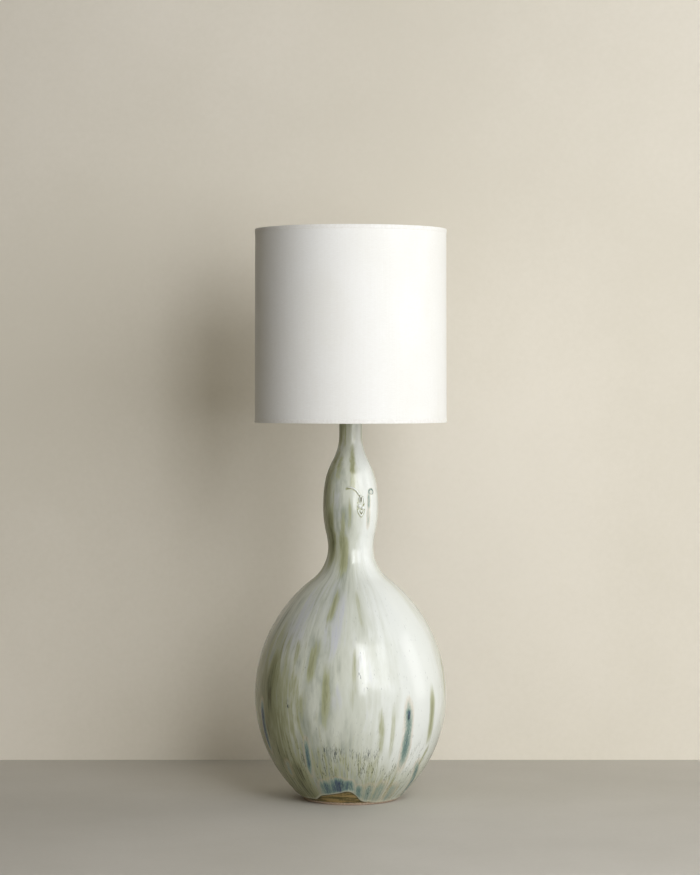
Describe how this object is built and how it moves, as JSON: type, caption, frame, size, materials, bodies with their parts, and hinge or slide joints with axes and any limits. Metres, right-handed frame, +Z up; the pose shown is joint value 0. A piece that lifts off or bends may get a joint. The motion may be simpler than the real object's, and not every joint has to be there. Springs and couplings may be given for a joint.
{
  "type": "table lamp",
  "caption": "Ceramic table lamp with a double gourd body, drum shade on a harp, turn-key socket, lamp bulb and finial.",
  "frame": {"origin": "centre of the foot ring, on the surface the lamp stands on", "axes": "+Z up along the threaded tube, +X to the right, -Y the front, +Y the back where the cord leaves"},
  "size_m": [0.2615, 0.2614, 0.7745],
  "materials": {
    "glaze": "running celadon and ivory glaze with olive and blue-grey streaks, gloss",
    "rubber": "matte black",
    "felt": "grey-brown felt",
    "zinc": "zinc plated",
    "brass": "satin, slightly aged",
    "nickel": "nickel plated",
    "cardboard": "plain",
    "phenolic": "moulded black-brown",
    "key_plastic": "moulded black",
    "screw_metal": "drawn, bright",
    "contact_bronze": "spring bronze",
    "frosted_glass": "inside frosted",
    "stem_glass": "clear",
    "black_glass": "black vitrite",
    "shade_cloth": "off-white fine linen on a stiff liner",
    "shade_tape": "off-white folded tape",
    "wire_paint": "white enamel"
  },
  "bodies": {
    "lamp_base": {"gourd_body": "glaze", "cord_grommet": "rubber", "base_pad": "felt", "base_washer": "zinc", "lock_washer": "zinc", "base_nut": "zinc", "lamp_pipe": "zinc", "neck_bush": "rubber", "neck_cap": "brass", "check_ring": "brass", "harp_saddle": "nickel", "saddle_nut": "zinc", "socket_cap": "brass", "socket_shell": "brass", "socket_liner": "cardboard", "socket_block": "phenolic", "screw_shell": "screw_metal", "center_contact": "contact_bronze", "terminal_screws": "contact_bronze"},
    "harp": {"harp": "nickel"},
    "sleeve_left": {"harp_sleeve_left": "nickel"},
    "sleeve_right": {"harp_sleeve_right": "nickel"},
    "stud": {"harp_stud": "brass"},
    "shade": {"shade_skin": "shade_cloth", "shade_bottom_ring": "wire_paint", "shade_spider": "wire_paint", "shade_trim_bottom": "shade_tape", "shade_trim_top": "shade_tape"},
    "finial": {"finial": "brass"},
    "bulb": {"bulb_glass": "frosted_glass", "bulb_base": "screw_metal", "bulb_insulator": "black_glass", "bulb_contact": "contact_bronze", "bulb_stem": "stem_glass"},
    "switch_key": {"switch_key": "key_plastic"}
  },
  "joints": [
    {"name": "harp_lift", "type": "slide", "parent": "lamp_base", "child": "harp", "axis": [0, 0, 1], "range_m": [0, 0.03]},
    {"name": "sleeve_left_lift", "type": "slide", "parent": "harp", "child": "sleeve_left", "axis": [0, 0, 1], "range_m": [0, 0.014]},
    {"name": "sleeve_right_lift", "type": "slide", "parent": "harp", "child": "sleeve_right", "axis": [0, 0, 1], "range_m": [0, 0.014]},
    {"name": "shade_turn", "type": "hinge", "parent": "harp", "child": "stud", "pos_m": [0, 0, 0.7454], "axis": [0, 0, 1], "continuous": true},
    {"name": "shade_lift", "type": "slide", "parent": "stud", "child": "shade", "axis": [0, 0, 1], "range_m": [0, 0.26]},
    {"name": "finial_lift", "type": "slide", "parent": "shade", "child": "finial", "axis": [0, 0, 1], "range_m": [0, 0.03]},
    {"name": "bulb_lift", "type": "slide", "parent": "lamp_base", "child": "bulb", "axis": [0, 0, 1], "range_m": [0, 0.03]},
    {"name": "key_turn", "type": "hinge", "parent": "lamp_base", "child": "switch_key", "pos_m": [0, -0.02, 0.5624], "axis": [0, -1, 0], "continuous": true}
  ]
}
